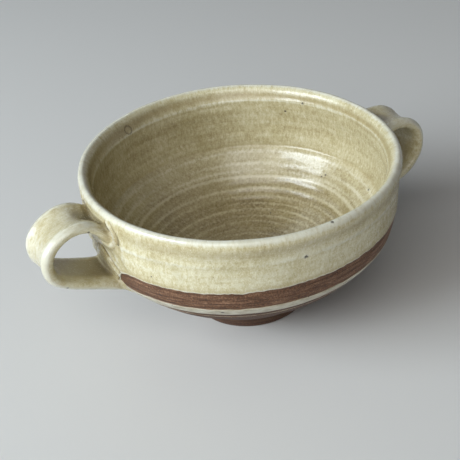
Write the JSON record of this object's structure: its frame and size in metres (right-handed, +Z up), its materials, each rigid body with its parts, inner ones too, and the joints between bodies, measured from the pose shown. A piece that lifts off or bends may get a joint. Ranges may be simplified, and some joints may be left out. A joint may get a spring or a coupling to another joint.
{
  "type": "lug soup bowl",
  "caption": "Hand-thrown stoneware soup bowl with a pulled strap lug on either side, glazed inside and over the upper wall, with a bare turned band and foot ring.",
  "frame": {"origin": "middle of the foot ring, on the surface that the bowl stands on", "axes": "+Z up out of the mouth, +X along the lugs towards the lower-set one, +Y across them"},
  "size_m": [0.1803, 0.1402, 0.0714],
  "materials": {
    "stoneware": "matte",
    "ochre_glaze": "satin",
    "pale_glaze": "satin"
  },
  "bodies": {
    "root": {"bowl_body": "stoneware", "left_handle": "ochre_glaze", "right_handle": "ochre_glaze", "glaze_coat": "ochre_glaze", "glaze_line": "pale_glaze", "foot_line": "pale_glaze"}
  },
  "joints": []
}
